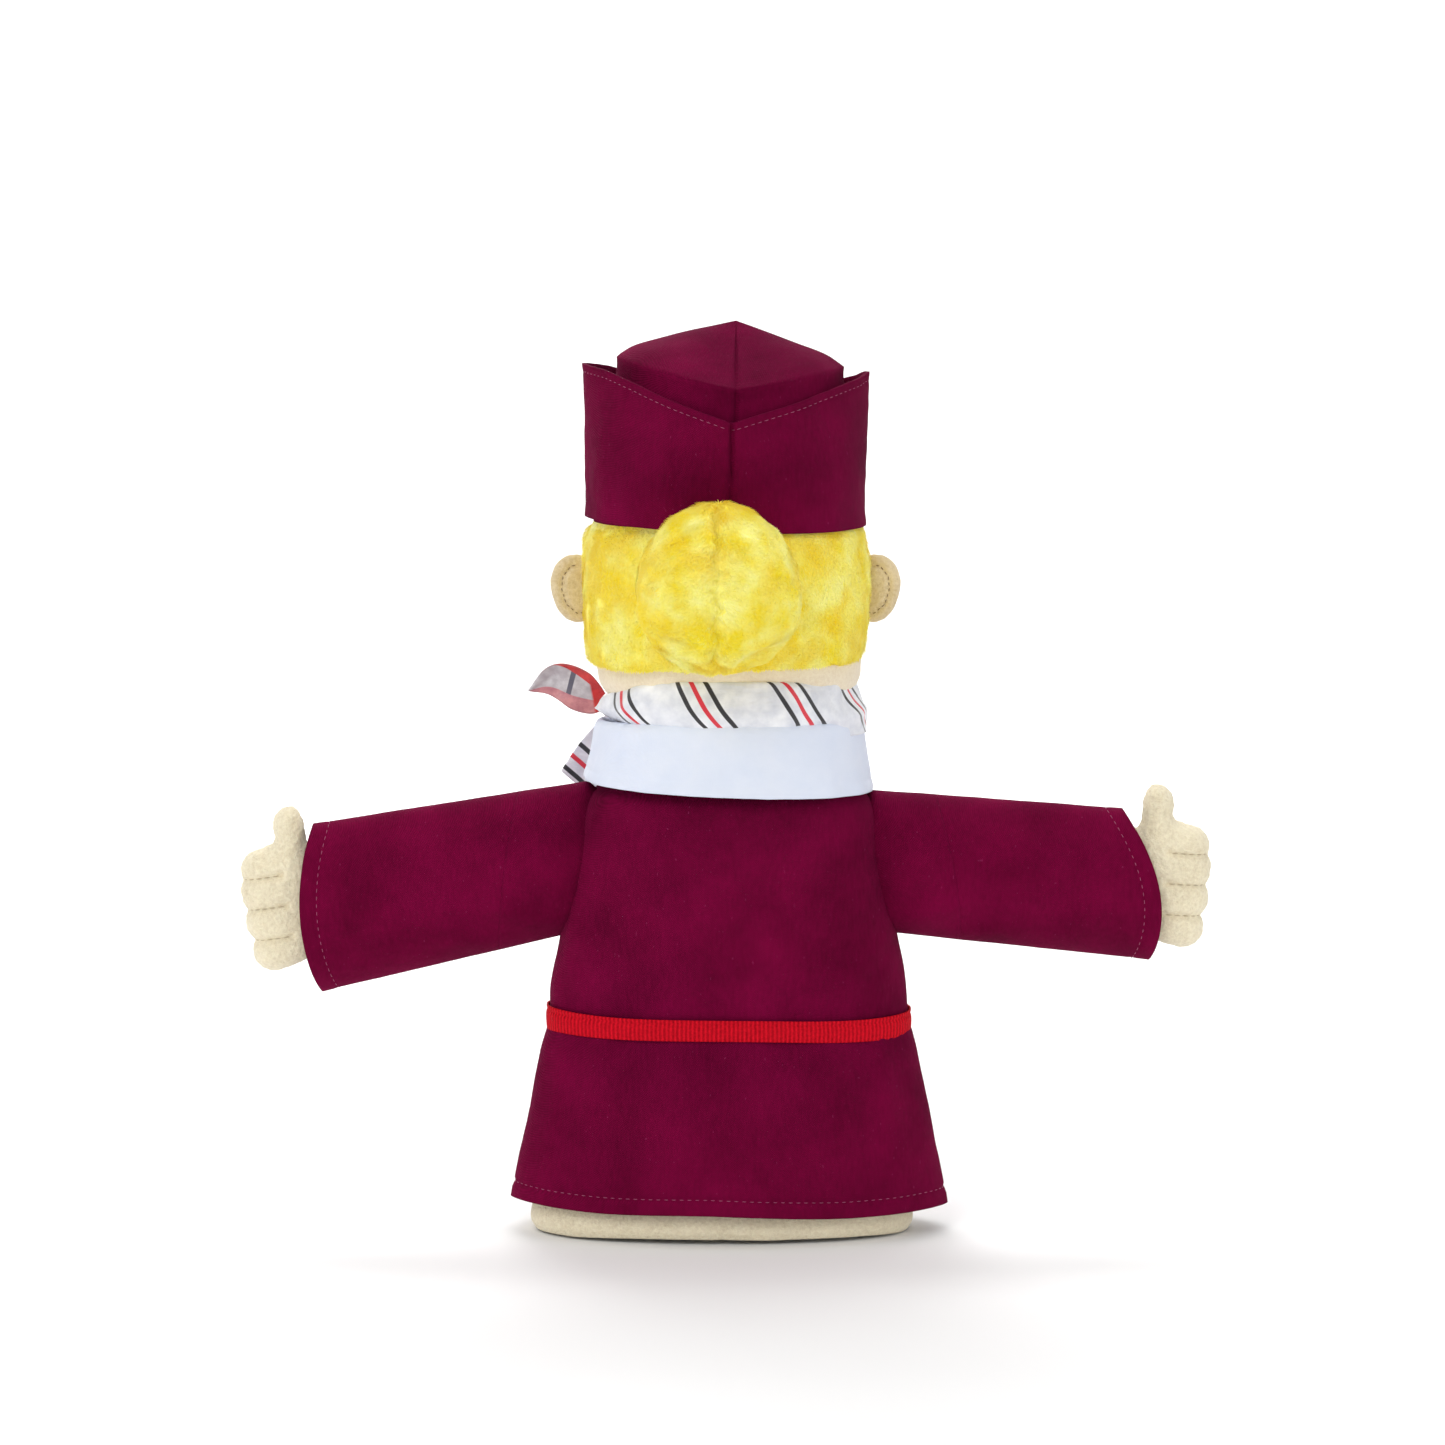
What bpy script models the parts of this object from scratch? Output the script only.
"""Glove puppet with a belted jacket, neck scarf, hair bun and garrison cap.

Metres, +Z up, front towards -Y, the puppet's left towards +X.
The origin is the centre of the hand opening, level with the glove's hem.
"""
import math

import bmesh
import bpy
from mathutils import Matrix, Vector

MM = 0.001
AROUND = 24            # points around a body section
GAP = 0.3 * MM         # air between two pieces that touch

# Driving dimensions
GLOVE_HEM = (69 * MM, 28 * MM)        # half-width and half-depth
JACKET_HEM = (78 * MM, 35 * MM)
JACKET_HEM_Z = 10 * MM
WAIST_Z = 79 * MM
WAIST = (66 * MM, 26.5 * MM)
WAIST_SWING = math.radians(16)
BELT_HEIGHT = 10 * MM
CLOTH = 1.2 * MM
FLEECE = 2.0 * MM
SHOULDER_X = 57 * MM
SHOULDER_Z = 136 * MM
LIFT_DOWN = math.radians(20)
LIFT_UP = math.radians(27)
ARM_DROOP = {"left": math.radians(9.4), "right": math.radians(5.0)}
SLEEVE_LENGTH = 98 * MM
ELBOW_U = 47 * MM
SLEEVE_ROOT = (16.5 * MM, 26 * MM)    # half-depth and half-height
SLEEVE_CUFF = (15 * MM, 29 * MM)
STALL = (10 * MM, 21 * MM)            # half-depth and half-height
NECK_Z = 203 * MM                     # the head turns, nods and tilts about this height
NECK_BALL = 38 * MM
HEAD = (49.5 * MM, 44 * MM, 46 * MM)  # half-width, half-depth, half-height
HEAD_Z = 236 * MM
TUBE_BORE = 11 * MM
HAIR = 4.5 * MM
BUN = (30 * MM, 24 * MM, 30 * MM)
CAP_Z = 260 * MM

COLOURS = {
    "fleece": ((0.84, 0.79, 0.62), 0.95),
    "burgundy": ((0.16, 0.004, 0.045), 0.85),
    "belt": ((0.62, 0.012, 0.02), 0.7),
    "buckle": ((0.75, 0.6, 0.3), 0.3),
    "shirt": ((0.78, 0.82, 0.92), 0.8),
    "satin": ((0.88, 0.86, 0.85), 0.35),
    "knot": ((0.72, 0.03, 0.04), 0.45),
    "hair": ((0.93, 0.72, 0.03), 0.9),
    "skin": ((0.86, 0.74, 0.56), 0.95),
    "cardboard": ((0.55, 0.42, 0.28), 0.9),
    "eye": ((0.02, 0.015, 0.012), 0.15),
    "eye_white": ((0.92, 0.92, 0.9), 0.7),
    "mouth": ((0.6, 0.05, 0.06), 0.7),
}


def clear_scene():
    for thing in list(bpy.data.objects):
        bpy.data.objects.remove(thing, do_unlink=True)


def material(name):
    """One Principled material for a piece, from its colour family."""
    colour, roughness = COLOURS[name]
    made = bpy.data.materials.new(name)
    made.use_nodes = True
    shader = made.node_tree.nodes["Principled BSDF"]
    shader.inputs["Base Color"].default_value = (*colour, 1.0)
    shader.inputs["Roughness"].default_value = roughness
    shader.inputs["Metallic"].default_value = 0.8 if name == "buckle" else 0.0
    return made


def finish(name, mesh, family):
    """Turn a bmesh into a named object with outward faces and a material."""
    bmesh.ops.recalc_face_normals(mesh, faces=mesh.faces)
    data = bpy.data.meshes.new(name)
    mesh.to_mesh(data)
    mesh.free()
    data.shade_smooth()
    data.set_sharp_from_angle(angle=math.radians(40))
    piece = bpy.data.objects.new(name, data)
    bpy.context.collection.objects.link(piece)
    if family:
        data.materials.append(material(family))
    return piece


def ring(half_x, half_y, z, centre=(0.0, 0.0), count=AROUND, squareness=2.3):
    """A level superellipse; z is a number or a function of x and y."""
    points = []
    for i in range(count):
        turn = 2 * math.pi * i / count
        cos, sin = math.cos(turn), math.sin(turn)
        x = centre[0] + half_x * math.copysign(abs(cos) ** (2 / squareness), cos)
        y = centre[1] + half_y * math.copysign(abs(sin) ** (2 / squareness), sin)
        points.append(Vector((x, y, z(x, y) if callable(z) else z)))
    return points


def loft(name, loops, family, wrap=False):
    """Join loops of points in order; wrap makes a hollow wall, else both ends are capped."""
    mesh = bmesh.new()
    rows = [[mesh.verts.new(p) for p in loop] for loop in loops]
    pairs = list(zip(rows, rows[1:]))
    if wrap:
        pairs.append((rows[-1], rows[0]))
    for low, high in pairs:
        for i in range(len(low)):
            j = (i + 1) % len(low)
            mesh.faces.new((low[i], low[j], high[j], high[i]))
    if not wrap:
        mesh.faces.new(rows[0])
        mesh.faces.new(rows[-1])
    return finish(name, mesh, family)


def wall(name, sections, thickness, family, bottom=None, top=None, squareness=2.3):
    """A hollow wall through (half_x, half_y, z) sections, open at both ends."""
    def loops(inset):
        made = []
        for i, (half_x, half_y, z) in enumerate(sections):
            level = bottom if bottom and i == 0 else top if top and i == len(sections) - 1 else z
            made.append(ring(half_x - inset, half_y - inset, level, squareness=squareness))
        return made
    return loft(name, loops(0) + loops(thickness)[::-1], family, wrap=True)


def ball(name, centre, radii, family, rings=10, count=16):
    """An ellipsoid."""
    mesh = bmesh.new()
    bmesh.ops.create_uvsphere(mesh, u_segments=count, v_segments=rings, radius=1.0)
    bmesh.ops.scale(mesh, vec=radii, verts=mesh.verts)
    bmesh.ops.translate(mesh, vec=centre, verts=mesh.verts)
    return finish(name, mesh, family)


def slab(name, outline, low, high, family):
    """An outline in the XZ plane, given thickness from y=low to y=high."""
    loops = [[Vector((x, y, z)) for x, z in outline] for y in (low, high)]
    return loft(name, loops, family)


def cut(piece, cutter):
    """Subtract a hidden cutter from a piece."""
    cutter.hide_render = True
    cutter.display_type = "WIRE"
    trim = piece.modifiers.new("cut_by_" + cutter.name, "BOOLEAN")
    trim.object = cutter
    trim.operation = "DIFFERENCE"


def pivot(name, place, parent=None, droop=0.0):
    """An empty on a joint's axis."""
    empty = bpy.data.objects.new(name, None)
    bpy.context.collection.objects.link(empty)
    empty.location = place
    empty.rotation_euler = (0.0, droop, 0.0)
    empty.parent = parent
    return empty


def hang(empty, *pieces):
    """Parent pieces that are modelled in world coordinates to a joint's empty."""
    for piece in pieces:
        piece.parent = empty
        piece.matrix_parent_inverse = Matrix.Translation(-empty.location)


# Sections of the torso, from the waist up: half-width, half-depth, height
BODICE = [
    (WAIST[0], WAIST[1], WAIST_Z),
    (65 * MM, 25.8 * MM, 92 * MM),
    (62.5 * MM, 28.5 * MM, 111 * MM),
    (57.5 * MM, 32 * MM, 140 * MM),
    (53.5 * MM, 34 * MM, 156 * MM),
    (50 * MM, 34 * MM, 161 * MM),
]
GLOVE_TOP = [
    (61 * MM, 23 * MM, WAIST_Z),
    (58 * MM, 25 * MM, 111 * MM),
    (51 * MM, 29 * MM, 148 * MM),
    (43 * MM, 27 * MM, 158 * MM),
    (24 * MM, 22 * MM, 161.5 * MM),
]


def waist_edge(side):
    """The height of a cut edge at the waist: it leaves a wedge for the bow, above or below."""
    slope = math.tan(WAIST_SWING / 2 + math.radians(0.3))
    return lambda x, y: WAIST_Z + side * (0.5 * MM + abs(y) * slope)


def chest(x, z, lift):
    """A point on the front of the bodice, lifted off the cloth."""
    for low, high in zip(BODICE, BODICE[1:]):
        if z <= high[2]:
            break
    share = (z - low[2]) / (high[2] - low[2])
    half_x = low[0] + share * (high[0] - low[0]) + lift
    half_y = low[1] + share * (high[1] - low[1]) + lift
    return Vector((x, -half_y * (1 - abs(x / half_x) ** 2.3) ** (1 / 2.3), z))


def chest_panel(name, left, right, heights, lift, thickness, family):
    """A flat piece on the front of the bodice, between two edges given as x of height."""
    loops = []
    columns = 5
    for z in heights:
        spread = [left(z) + (right(z) - left(z)) * i / (columns - 1) for i in range(columns)]
        outer = [chest(x, z, lift + thickness) for x in spread]
        inner = [chest(x, z, lift) for x in reversed(spread)]
        loops.append(outer + inner)
    return loft(name, loops, family)


def lower_body():
    """The parts below the waist, which the wrist fills."""
    edge = waist_edge(-1)
    wall("glove_lower", [(*GLOVE_HEM, 0.0), (*GLOVE_HEM, 8 * MM), (66 * MM, 26 * MM, 40 * MM),
                         (61 * MM, 23 * MM, WAIST_Z)], FLEECE, "fleece", top=edge)
    wall("jacket_skirt", [(*JACKET_HEM, JACKET_HEM_Z), (71.5 * MM, 30.5 * MM, 42 * MM),
                          (*WAIST, WAIST_Z)], CLOTH, "burgundy", top=edge)
    belt_low, belt_high = WAIST_Z - BELT_HEIGHT / 2, WAIST_Z + BELT_HEIGHT / 2
    wall("belt", [(68.7 * MM, 30 * MM, belt_low), (68.7 * MM, 30 * MM, belt_high)], CLOTH, "belt")
    buckle = [(-9 * MM, belt_low), (9 * MM, belt_low), (9 * MM, belt_high), (-9 * MM, belt_high)]
    slab("belt_buckle", buckle, -32.3 * MM, -30.3 * MM, "buckle")
    for number, height in ((2, 56 * MM), (3, 34 * MM)):
        climb = (height - JACKET_HEM_Z) / (WAIST_Z - JACKET_HEM_Z)
        front = JACKET_HEM[1] + (WAIST[1] - JACKET_HEM[1]) * climb
        ball(f"jacket_button_{number}", (0, -front - 2.5 * MM, height), (4.5 * MM, 1.8 * MM, 4.5 * MM),
             "buckle", rings=6, count=12)


def armhole(side, name):
    """The notch that lets an arm lift and drop: its point lies on the shoulder's axis."""
    droop = ARM_DROOP[name]
    reach, half = 75 * MM, 31 * MM
    root = SLEEVE_ROOT[1] + 2.5 * MM
    outline = []
    for turn, sign in ((-LIFT_DOWN, -1), (LIFT_UP, 1)):
        heading = turn - droop
        along = Vector((math.cos(heading), math.sin(heading)))
        across = Vector((-math.sin(heading), math.cos(heading))) * sign
        pair = [across * root - along * MM, across * half + along * reach]
        outline.append(pair if sign > 0 else pair[::-1])
    points = [outline[0][0], outline[0][1], Vector((-MM, 0)), outline[1][0], outline[1][1]]
    world = [(side * (SHOULDER_X + p.x), SHOULDER_Z + p.y) for p in points]
    return slab(f"{name}_armhole_cutter", world, -60 * MM, 60 * MM, None)


def torso():
    """The parts between the waist and the collar."""
    edge = waist_edge(1)
    bodice = wall("jacket_bodice", BODICE, CLOTH, "burgundy", bottom=edge)
    glove = wall("glove_upper", GLOVE_TOP, FLEECE, "fleece", bottom=edge)
    for side, name in ((1, "left"), (-1, "right")):
        cutter = armhole(side, name)
        cut(bodice, cutter)
        cut(glove, cutter)

    def opening(z):
        return 20 * MM * (z - 108 * MM) / (53 * MM)
    heights = [z * MM for z in (112, 122, 132, 140, 148, 156, 160.5)]
    front = chest_panel("shirt_front", lambda z: -opening(z), opening, heights, GAP, 0.8 * MM, "shirt")
    lapels = [
        chest_panel("lapel_left", opening, lambda z: opening(z) + 13 * MM, heights,
                    1.6 * MM, CLOTH, "burgundy"),
        chest_panel("lapel_right", lambda z: -opening(z) - 13 * MM, lambda z: -opening(z), heights,
                    1.6 * MM, CLOTH, "burgundy"),
    ]
    button = ball("jacket_button_1", (0, -31.3 * MM, 104 * MM), (4.5 * MM, 1.8 * MM, 4.5 * MM),
                  "buckle", rings=6, count=12)
    collar = wall("shirt_collar", [(51.5 * MM, 39 * MM, 162.3 * MM), (50 * MM, 38.5 * MM, 173 * MM),
                                   (48 * MM, 38 * MM, 184 * MM)], 2.4 * MM, "shirt")
    band = scarf_band("scarf_band", 0.0, "satin")
    guard = scarf_band("scarf_guard", GAP, None)
    knot = ball("scarf_knot", (33 * MM, -39 * MM, 193 * MM), (9 * MM, 7 * MM, 8 * MM), "knot")
    cut(knot, guard)
    tail = [(31 * MM, 184.3 * MM), (43 * MM, 184.3 * MM), (61 * MM, 167 * MM), (49 * MM, 160 * MM)]
    front_tail = slab("scarf_front_tail", tail, -40 * MM, -38.4 * MM, "satin")
    hang(pivot("waist_axis", (0, 0, WAIST_Z)), bodice, glove, front, *lapels, button, collar, band,
         knot, front_tail)


def scarf_band(name, grow, family):
    """The rolled scarf round the neck, bored for the neck ball."""
    inner = NECK_BALL + 0.8 * MM
    outline = [(46.5 * MM, 41.5 * MM, 184.5 * MM), (47.5 * MM, 42.5 * MM, 193 * MM),
               (46 * MM, 41 * MM, 200.5 * MM)]
    outside = [ring(x + grow, y + grow, z, squareness=2) for x, y, z in outline]
    inside = [ring(inner - grow, inner - grow, z, squareness=2) for _, _, z in outline]
    return loft(name, outside + inside[::-1], family, wrap=True)


def scarf_tail():
    """The free end of the scarf, which stands out sideways from the knot."""
    root = (46 * MM, -20 * MM, 195 * MM)
    leaf = [(49.5, 192), (60, 190), (68, 194), (73, 199.5), (67, 204), (60, 205), (53, 200), (49.5, 196)]
    tail = slab("scarf_side_tail", [(x * MM, z * MM) for x, z in leaf], -18.5 * MM, -16.5 * MM, "knot")
    hang(pivot("scarf_tail_axis", root), tail)


def arm_wall(name, size_at, start, stop, thickness, family, start_arc=None, stop_arc=None, steps=2,
             closed=False, keep_front_open=0.0):
    """A tube along local +X. An end can be a round arc about the elbow's upright axis.

    keep_front_open pulls that arc back at the front, where the bent arm's walls come closer.
    """
    def place(u, inset, arc):
        half_y, half_z = size_at(u)
        loop = []
        for i in range(AROUND):
            turn = 2 * math.pi * i / AROUND
            y, z = (half_y - inset) * math.cos(turn), (half_z - inset) * math.sin(turn)
            along = u
            if arc is not None:
                early = math.sqrt(arc * arc - y * y)
                along = ELBOW_U - early * (1 - keep_front_open * max(0.0, -y / half_y))
            loop.append(Vector((along, y, z)))
        return loop
    stations = [start + (stop - start) * i / steps for i in range(steps + 1)]
    arcs = [start_arc] + [None] * (steps - 1) + [stop_arc]
    outer = [place(u, 0, arc) for u, arc in zip(stations, arcs)]
    if closed:
        stations[-1] -= thickness
    inner = [place(u, thickness, arc) for u, arc in zip(stations, arcs)]
    if closed:
        return loft(name, outer[::-1] + [inner[0]] + inner[1:], family)
    return loft(name, outer + inner[::-1], family, wrap=True)


def arm(side, name):
    """One arm: sleeve and finger stall, each in two stretches, and the stuffed hand."""
    shoulder = pivot(f"{name}_shoulder_axis", (side * SHOULDER_X, 0, SHOULDER_Z),
                     droop=side * ARM_DROOP[name])
    elbow = pivot(f"{name}_elbow_axis", (side * ELBOW_U, 0, 0), parent=shoulder)

    def sleeve_size(u):
        share = u / SLEEVE_LENGTH
        return tuple(a + (b - a) * share for a, b in zip(SLEEVE_ROOT, SLEEVE_CUFF))

    def stall_size(u):
        return STALL

    start = 0.6 * MM
    outer_arc, inner_arc = 18.4 * MM, 17.6 * MM
    stall_outer, stall_inner = 12.0 * MM, 11.2 * MM
    near = [
        arm_wall(f"sleeve_upper_{name}", sleeve_size, start, 34 * MM, CLOTH, "burgundy", stop_arc=outer_arc),
        arm_wall(f"stall_upper_{name}", stall_size, start + MM, 38 * MM, FLEECE, "fleece",
                 stop_arc=stall_outer),
    ]
    far = [
        arm_wall(f"sleeve_lower_{name}", sleeve_size, 42 * MM, SLEEVE_LENGTH, CLOTH, "burgundy",
                 start_arc=inner_arc, keep_front_open=1.0),
        arm_wall(f"stall_lower_{name}", stall_size, 44 * MM, 92 * MM, FLEECE, "fleece",
                 start_arc=stall_inner, closed=True),
        hand(f"hand_{name}"),
    ]
    for piece in near + far:
        if side < 0:
            piece.data.transform(Matrix.Scale(-1, 4, Vector((1, 0, 0))))
            piece.data.flip_normals()
    for piece in near:
        piece.parent = shoulder
    for piece in far:
        piece.parent = elbow
        piece.matrix_parent_inverse = Matrix.Translation((-side * ELBOW_U, 0, 0))


def hand(name):
    """A stuffed fist with the thumb up, cut from two flat halves."""
    outline = [(92.6, -19), (108, -20.5), (116, -17.5), (120, -9), (121, 3), (119.5, 13), (115, 19.5),
               (111, 22), (111, 30), (108, 35), (103.5, 36.5), (99.8, 34), (99.2, 27), (97, 19.5), (92.6, 18)]
    middle = Vector((106, 0, 3)) * MM
    loops = []
    for y, shrink in ((-10.5, 0.68), (-8.5, 0.9), (-4, 1.0), (4, 1.0), (8.5, 0.9), (10.5, 0.68)):
        loop = []
        for u, w in outline:
            point = middle + (Vector((u, 0, w)) * MM - middle) * shrink
            loop.append(Vector((max(point.x, 92.6 * MM), y * MM, point.z)))
        loops.append(loop)
    return loft(name, loops, "fleece")


def head_ring(z, grow):
    """One level section of the stuffed head, grown outward."""
    rise = (z - HEAD_Z) / HEAD[2]
    scale = math.sqrt(max(0.0, 1 - rise * rise))
    return ring(HEAD[0] * scale + grow, HEAD[1] * scale + grow, z, squareness=2.15)


def head_shape(name, grow, family, bored):
    """Neck ball, cheeks that clear the scarf, and skull; bored up the middle for the tube."""
    ball_low = 189 * MM
    cheek = math.tan(math.radians(11))
    loops = []
    for z in (ball_low, 196 * MM, NECK_Z):
        radius = math.sqrt(NECK_BALL ** 2 - (z - NECK_Z) ** 2)
        loops.append(ring(radius + grow, radius + grow, z, squareness=2))
    side = 43 * MM
    loops.append(ring(NECK_BALL + grow, NECK_BALL + grow, NECK_Z + NECK_BALL * cheek - grow, squareness=2))
    loops.append(ring(side + 3 * MM + grow, side - 2 * MM + grow, NECK_Z + (side + 3 * MM) * cheek - grow))
    loops += [head_ring(z * MM, grow) for z in (219, 228, 238, 248, 258, 266, 273, 278, 281)]
    if not bored:
        return loft(name, loops, family)
    bore = TUBE_BORE + 2.2 * MM
    inside = [ring(bore, bore, z * MM, squareness=2, count=AROUND) for z in (189, 203, 220, 242)]
    return loft(name, loops[::-1] + inside, family)


def hair_parts(guard, cap_guard):
    """The plush hair over the back and sides, its bun, and the fringe under the cap."""
    def front_cutter(name, low, high, near, far):
        outline = [(-70 * MM, low), (70 * MM, low), (70 * MM, high), (-70 * MM, high)]
        return slab(name, outline, near, far, None)

    hair = hair_shape("hair", 0.0, "hair")
    fringe = hair_shape("hair_fringe", 0.0, "hair")
    cut(hair, front_cutter("hair_front_cutter", 190 * MM, 270 * MM, -70 * MM, 1 * MM))
    cut(hair, guard)
    cut(fringe, front_cutter("fringe_back_cutter", 190 * MM, 270 * MM, 0.5 * MM, 70 * MM))
    cut(fringe, front_cutter("fringe_low_cutter", 190 * MM, 250 * MM, -70 * MM, 5 * MM))
    cut(fringe, guard)
    bun = ball("hair_bun", (3 * MM, 62 * MM, 242 * MM), BUN, "hair", rings=12, count=20)
    cut(bun, hair_shape("hair_guard", GAP, None))
    cut(bun, cap_guard)
    return hair, fringe, bun


def hair_shape(name, grow, family):
    """The outside of the whole head of hair, grown outward."""
    loops = []
    for z in (211, 216, 226, 240, 252, 259):
        rise = (z * MM - 234 * MM) / (60 * MM)
        scale = math.sqrt(1 - rise * rise)
        loops.append(ring((HEAD[0] + HAIR) * scale + grow, (HEAD[1] + HAIR) * scale + grow, z * MM,
                          squareness=2.15))
    return loft(name, loops, family)


def face_parts(guard):
    """Ears, nose, eyes with felt whites, and a small smile."""
    parts = []
    for side, name in ((1, "left"), (-1, "right")):
        parts.append(ball(f"ear_{name}", (side * 56 * MM, -4.5 * MM, 235.5 * MM),
                          (7 * MM, 3.8 * MM, 12.5 * MM), "skin"))
        parts.append(ball(f"eye_white_{name}", (side * 17 * MM, -41.5 * MM, 238 * MM),
                          (6.5 * MM, 3.2 * MM, 7.5 * MM), "eye_white", rings=8, count=14))
        pupil = ball(f"eye_{name}", (side * 16.5 * MM, -44.5 * MM, 238 * MM),
                     (4 * MM, 3.2 * MM, 4.5 * MM), "eye", rings=8, count=14)
        cut(pupil, ball(f"eye_seat_{name}", (side * 17 * MM, -41.5 * MM, 238 * MM),
                        (6.8 * MM, 3.5 * MM, 7.8 * MM), None, rings=8, count=14))
        parts.append(pupil)
    parts.append(ball("nose", (0, -45 * MM, 228 * MM), (5.5 * MM, 6 * MM, 5 * MM), "skin", rings=8, count=14))
    smile = [(11, 219), (6, 215.5), (0, 214.3), (-6, 215.5), (-11, 219), (-6, 217), (0, 216), (6, 217)]
    mouth = slab("mouth", [(x * MM, z * MM) for x, z in smile], -47 * MM, -30 * MM, "mouth")
    parts.append(mouth)
    for part in parts:
        cut(part, guard)
    cut(mouth, slab_front_of_face())
    return parts


def slab_front_of_face():
    """Everything more than a felt's thickness off the lower face."""
    face = head_shape("face_skin_guard", 1.3 * MM, None, False)
    block = slab("mouth_front_cutter", [(-30 * MM, 200 * MM), (30 * MM, 200 * MM), (30 * MM, 230 * MM),
                                        (-30 * MM, 230 * MM)], -60 * MM, -20 * MM, None)
    cut(block, face)
    return block


def cap_parts():
    """The garrison cap: peaked crown, turn-up with a notch at the back and front, and sweatband."""
    def crown_top(x, y):
        return 314 * MM + 7 * MM * abs(x) / (40 * MM) + 3 * MM * (0.5 - y / (80 * MM))

    def flap_top(x, y):
        return 300 * MM + 16 * MM * min(1.0, abs(x) / (51 * MM))

    thick = 1.6 * MM
    outside = [ring(48.8 * MM, 44.5 * MM, CAP_Z), ring(46 * MM, 43 * MM, 285 * MM),
               ring(40 * MM, 40 * MM, crown_top), ring(20 * MM, 20 * MM, 324 * MM, centre=(0, -6 * MM)),
               ring(2 * MM, 5 * MM, 331 * MM, centre=(0, -10 * MM))]
    inside = [ring(47.2 * MM, 42.9 * MM, CAP_Z), ring(44.4 * MM, 41.4 * MM, 285 * MM),
              ring(38 * MM, 38 * MM, 311 * MM)]
    crown = loft("cap_crown", outside[::-1] + inside, "burgundy")
    flap_sections = [(51 * MM, 46.6 * MM, CAP_Z), (51 * MM, 46.6 * MM, 300 * MM)]
    flap = wall("cap_turn_up", flap_sections, thick, "burgundy", top=flap_top)
    guard_loops = [ring(51.3 * MM, 46.9 * MM, z * MM) for z in (259.6, 300)]
    cap_guard = loft("cap_guard", guard_loops, None)
    band = wall("cap_sweatband", [(46.7 * MM, 42.4 * MM, CAP_Z), (45.4 * MM, 41.7 * MM, 272 * MM)],
                MM, "shirt")
    return [crown, flap, band], cap_guard


def head_parts():
    """Everything above the neck, with the three joints of the finger in the head."""
    place = (0, 0, NECK_Z)
    sleeve = wall("neck_sleeve", [(17 * MM, 17 * MM, 169 * MM), (17 * MM, 17 * MM, 185.5 * MM)], 2 * MM,
                  "fleece", squareness=2)
    hang(pivot("head_tilt_axis", place), sleeve)
    outer = TUBE_BORE + 1.7 * MM
    tube = wall("finger_tube", [(outer, outer, 190 * MM), (outer, outer, 240 * MM)], 1.7 * MM, "cardboard",
                squareness=2)
    hang(pivot("head_nod_axis", place), tube)
    head = head_shape("head", 0.0, "skin", True)
    guard = head_shape("head_guard", GAP, None, False)
    cap, cap_guard = cap_parts()
    pieces = [head, *hair_parts(guard, cap_guard), *face_parts(guard), *cap]
    hang(pivot("head_turn_axis", place), *pieces)


clear_scene()
lower_body()
torso()
scarf_tail()
for arm_side, arm_name in ((1, "left"), (-1, "right")):
    arm(arm_side, arm_name)
head_parts()
